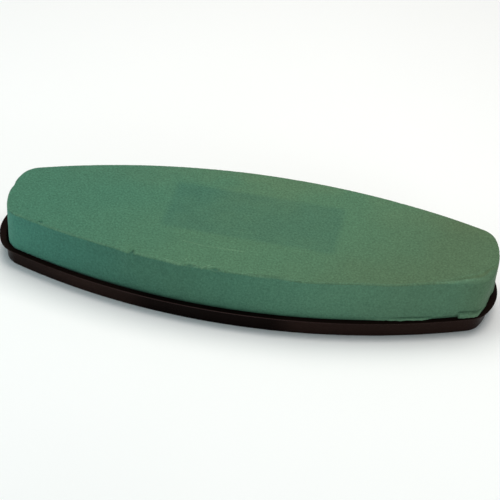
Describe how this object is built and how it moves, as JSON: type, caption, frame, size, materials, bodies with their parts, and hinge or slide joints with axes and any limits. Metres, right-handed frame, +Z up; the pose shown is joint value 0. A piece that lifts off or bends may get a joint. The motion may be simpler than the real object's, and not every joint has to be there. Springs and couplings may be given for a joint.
{
  "type": "floral foam spray tray",
  "caption": "Boat-shaped block of green wet floral foam bonded into a shallow dark plastic tray with a flat flange all round.",
  "frame": {"origin": "on the surface the tray stands on, under the centre of the tray", "axes": "+X along the tray, +Y across it, +Z up out of the foam's top face"},
  "size_m": [0.56, 0.194, 0.072],
  "materials": {
    "tray_plastic": "satin",
    "wet_foam": "matte",
    "hot_melt": "satin"
  },
  "bodies": {
    "root": {"tray": "tray_plastic", "foam_block": "wet_foam", "glue_dab_1": "hot_melt", "glue_dab_2": "hot_melt", "glue_dab_3": "hot_melt", "glue_dab_4": "hot_melt", "glue_dab_5": "hot_melt", "glue_dab_6": "hot_melt"}
  },
  "joints": []
}
